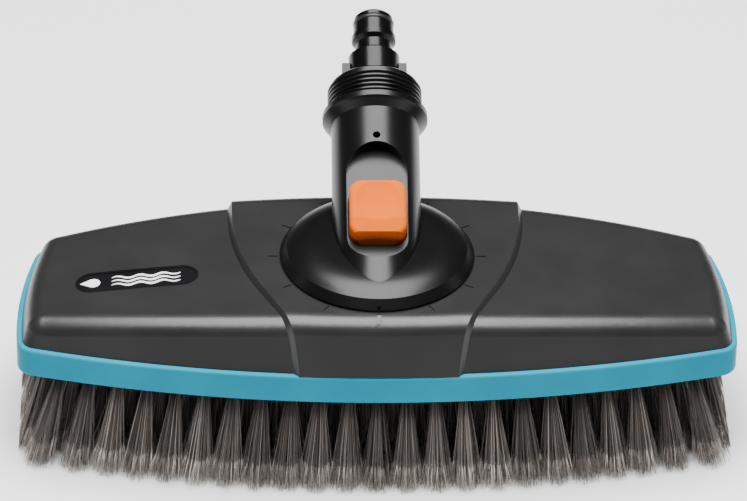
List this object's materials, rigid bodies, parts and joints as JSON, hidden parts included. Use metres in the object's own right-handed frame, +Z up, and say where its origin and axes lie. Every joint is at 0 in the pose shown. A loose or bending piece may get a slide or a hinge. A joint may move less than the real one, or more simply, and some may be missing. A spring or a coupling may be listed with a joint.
{
  "type": "wash brush head",
  "caption": "Hose-fed wash-brush head: wide grey cover, soft turquoise rim, taupe tufts, and a lockable swivel neck with an orange button and a quick-connect hose nose.",
  "frame": {"origin": "on the swivel axis, in the plane of the bristle tips", "axes": "+X along the head, -Y its front, +Y the way the neck leans, +Z up from the bristles"},
  "size_m": [0.279, 0.1545, 0.1287],
  "materials": {
    "cover_grey": "satin, fine grain",
    "badge_black": "gloss",
    "rim_turquoise": "satin soft plastic",
    "block_black": "matte",
    "neck_black": "satin",
    "nose_black": "semi gloss",
    "inner_grey": "matte",
    "button_orange": "semi gloss",
    "bristle_taupe": "fine split-tip filaments",
    "seal_rubber": "matte",
    "wire_steel": "drawn",
    "screw_steel": "stainless"
  },
  "bodies": {
    "head": {"body_cover": "cover_grey", "badge_plate": "badge_black", "bumper_rim": "rim_turquoise", "bristle_block": "block_black", "tuft_row_1": "bristle_taupe", "tuft_row_2": "bristle_taupe", "tuft_row_3": "bristle_taupe", "tuft_row_4": "bristle_taupe", "tuft_row_5": "bristle_taupe", "tuft_row_6": "bristle_taupe", "tuft_row_7": "bristle_taupe", "tuft_anchors": "wire_steel", "block_screws": "screw_steel", "manifold_gasket": "seal_rubber", "water_manifold": "block_black", "manifold_screws": "screw_steel"},
    "swivel": {"swivel_neck": "neck_black", "water_pipe": "inner_grey", "pipe_seal": "seal_rubber", "slip_ring": "inner_grey", "retainer_ring": "block_black", "retainer_screws": "screw_steel", "hose_connector": "nose_black", "nose_o_ring": "seal_rubber", "connector_seal": "seal_rubber", "button_spring": "wire_steel"},
    "button": {"lock_button": "button_orange", "lock_pawl": "block_black"}
  },
  "joints": [
    {"name": "neck_swivel", "type": "hinge", "parent": "head", "child": "swivel", "pos_m": [0, 0, 0.075], "axis": [0, 0, 1], "continuous": true},
    {"name": "lock_press", "type": "slide", "parent": "swivel", "child": "button", "axis": [0, 0.4226, -0.9063], "range_m": [0, 0.004], "stiffness_N_per_m": 800, "springref_m": -0.002, "deforming": ["button_spring"]}
  ]
}
